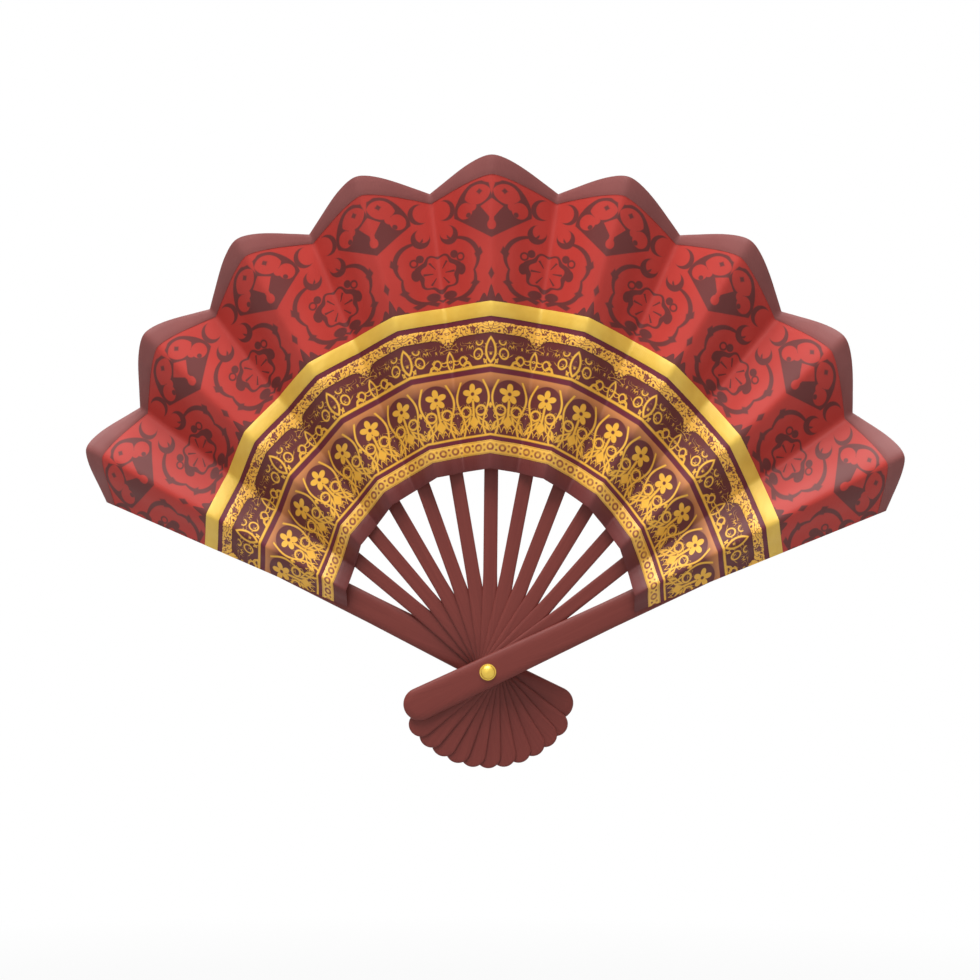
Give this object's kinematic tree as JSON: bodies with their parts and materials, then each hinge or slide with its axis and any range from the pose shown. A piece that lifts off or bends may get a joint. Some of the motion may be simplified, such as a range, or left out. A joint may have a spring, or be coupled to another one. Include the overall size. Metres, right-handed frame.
{
  "type": "folding hand fan",
  "caption": "Open folding hand fan with thin wooden ribs between two thick guards, a pleated scalloped fabric leaf with gold trims, and a brass rivet.",
  "frame": {"origin": "on the rivet's axis, halfway through the stack of sticks", "axes": "+Z from the rivet to the middle of the open leaf, -Y out of the front, +X towards the front guard's side"},
  "size_m": [0.3068, 0.0337, 0.23],
  "materials": {
    "lacquered_wood": "satin lacquer",
    "brass": "polished",
    "printed_silk": "satin weave",
    "maroon_binding": "ribbed ribbon",
    "gold_braid": "metallic thread"
  },
  "bodies": {
    "rear_guard": {"rear_guard": "lacquered_wood", "rivet": "brass", "front_washer": "brass", "rear_washer": "brass", "leaf": "printed_silk", "rim_binding": "maroon_binding", "gold_braid": "gold_braid", "gold_lace": "gold_braid", "inner_braid": "gold_braid", "hem_binding": "maroon_binding"},
    "front_guard": {"front_guard": "lacquered_wood"},
    "rib_01": {"rib_01": "lacquered_wood"},
    "rib_02": {"rib_02": "lacquered_wood"},
    "rib_03": {"rib_03": "lacquered_wood"},
    "rib_04": {"rib_04": "lacquered_wood"},
    "rib_05": {"rib_05": "lacquered_wood"},
    "rib_06": {"rib_06": "lacquered_wood"},
    "rib_07": {"rib_07": "lacquered_wood"},
    "rib_08": {"rib_08": "lacquered_wood"},
    "rib_09": {"rib_09": "lacquered_wood"},
    "rib_10": {"rib_10": "lacquered_wood"},
    "rib_11": {"rib_11": "lacquered_wood"}
  },
  "joints": [
    {"name": "front_guard_hinge", "type": "hinge", "parent": "rear_guard", "child": "front_guard", "pos_m": [0, 0, 0], "axis": [0, -1, 0], "range_deg": [0, 120], "deforming": ["leaf", "rim_binding", "gold_braid", "gold_lace", "inner_braid", "hem_binding"]},
    {"name": "rib_01_hinge", "type": "hinge", "parent": "rear_guard", "child": "rib_01", "pos_m": [0, 0, 0], "axis": [0, -1, 0], "range_deg": [0, 12]},
    {"name": "rib_02_hinge", "type": "hinge", "parent": "rear_guard", "child": "rib_02", "pos_m": [0, 0, 0], "axis": [0, -1, 0], "range_deg": [0, 21.6]},
    {"name": "rib_03_hinge", "type": "hinge", "parent": "rear_guard", "child": "rib_03", "pos_m": [0, 0, 0], "axis": [0, -1, 0], "range_deg": [0, 31.2]},
    {"name": "rib_04_hinge", "type": "hinge", "parent": "rear_guard", "child": "rib_04", "pos_m": [0, 0, 0], "axis": [0, -1, 0], "range_deg": [0, 40.8]},
    {"name": "rib_05_hinge", "type": "hinge", "parent": "rear_guard", "child": "rib_05", "pos_m": [0, 0, 0], "axis": [0, -1, 0], "range_deg": [0, 50.4]},
    {"name": "rib_06_hinge", "type": "hinge", "parent": "rear_guard", "child": "rib_06", "pos_m": [0, 0, 0], "axis": [0, -1, 0], "range_deg": [0, 60]},
    {"name": "rib_07_hinge", "type": "hinge", "parent": "rear_guard", "child": "rib_07", "pos_m": [0, 0, 0], "axis": [0, -1, 0], "range_deg": [0, 69.6]},
    {"name": "rib_08_hinge", "type": "hinge", "parent": "rear_guard", "child": "rib_08", "pos_m": [0, 0, 0], "axis": [0, -1, 0], "range_deg": [0, 79.2]},
    {"name": "rib_09_hinge", "type": "hinge", "parent": "rear_guard", "child": "rib_09", "pos_m": [0, 0, 0], "axis": [0, -1, 0], "range_deg": [0, 88.8]},
    {"name": "rib_10_hinge", "type": "hinge", "parent": "rear_guard", "child": "rib_10", "pos_m": [0, 0, 0], "axis": [0, -1, 0], "range_deg": [0, 98.4]},
    {"name": "rib_11_hinge", "type": "hinge", "parent": "rear_guard", "child": "rib_11", "pos_m": [0, 0, 0], "axis": [0, -1, 0], "range_deg": [0, 108]}
  ],
  "couplings": [
    {"joint": "rib_01_hinge", "follows": "front_guard_hinge", "ratio": 0.1},
    {"joint": "rib_02_hinge", "follows": "front_guard_hinge", "ratio": 0.18},
    {"joint": "rib_03_hinge", "follows": "front_guard_hinge", "ratio": 0.26},
    {"joint": "rib_04_hinge", "follows": "front_guard_hinge", "ratio": 0.34},
    {"joint": "rib_05_hinge", "follows": "front_guard_hinge", "ratio": 0.42},
    {"joint": "rib_06_hinge", "follows": "front_guard_hinge", "ratio": 0.5},
    {"joint": "rib_07_hinge", "follows": "front_guard_hinge", "ratio": 0.58},
    {"joint": "rib_08_hinge", "follows": "front_guard_hinge", "ratio": 0.66},
    {"joint": "rib_09_hinge", "follows": "front_guard_hinge", "ratio": 0.74},
    {"joint": "rib_10_hinge", "follows": "front_guard_hinge", "ratio": 0.82},
    {"joint": "rib_11_hinge", "follows": "front_guard_hinge", "ratio": 0.9}
  ]
}
